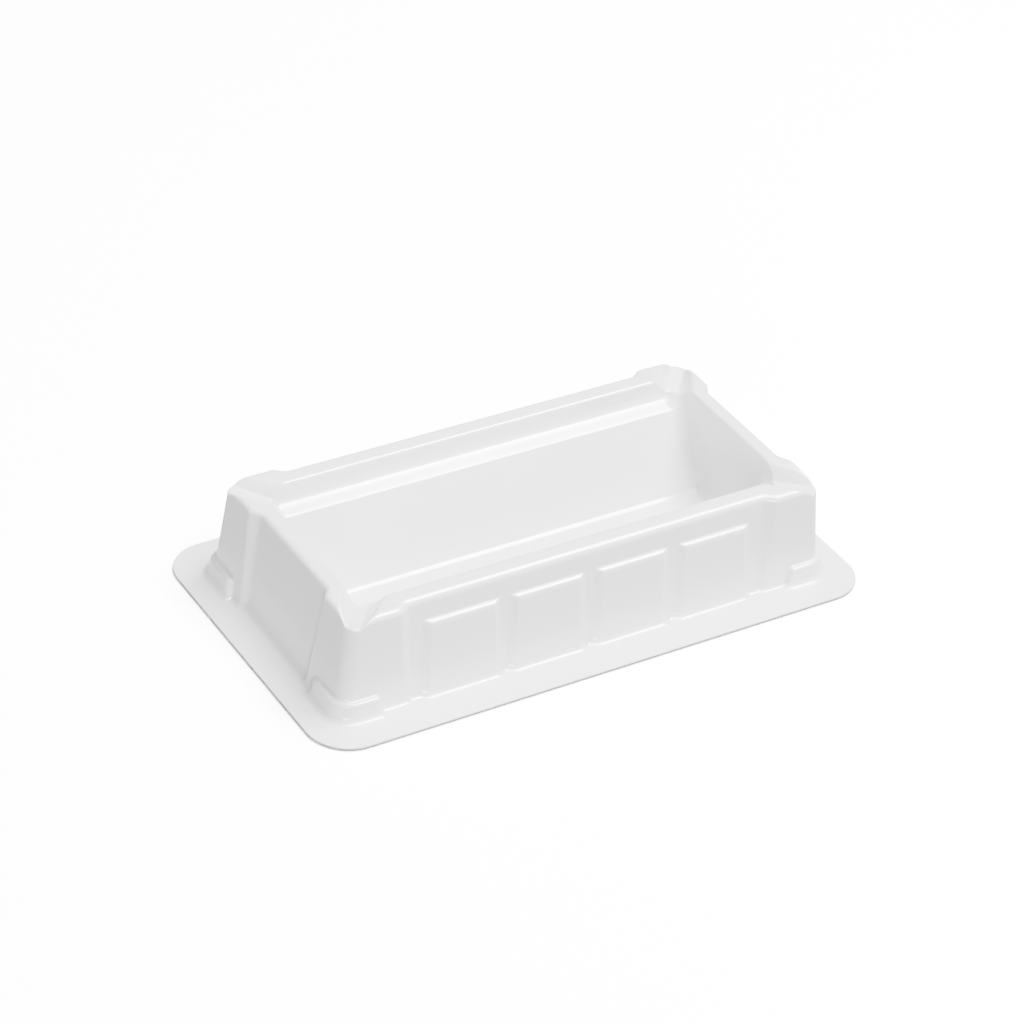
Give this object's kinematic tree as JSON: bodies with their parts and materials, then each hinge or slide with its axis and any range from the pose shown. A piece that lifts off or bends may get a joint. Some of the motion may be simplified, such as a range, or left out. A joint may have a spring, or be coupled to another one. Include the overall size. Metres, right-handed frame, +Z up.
{
  "type": "reagent reservoir",
  "caption": "Long shallow white plastic trough with a sloping bowl, a ledge along each side, a pour spout over each corner post, panelled walls and a flat flange to stand on.",
  "frame": {"origin": "middle of the footprint, on the flange's underside, which is the surface that the reservoir stands on", "axes": "+X along the trough, +Y across it, +Z up out of the bowl; both halves are alike in X and in Y"},
  "size_m": [0.1416, 0.0804, 0.025],
  "materials": {
    "white_sheet": "smooth satin white sheet plastic"
  },
  "bodies": {
    "root": {"reservoir_tray": "white_sheet"}
  },
  "joints": []
}
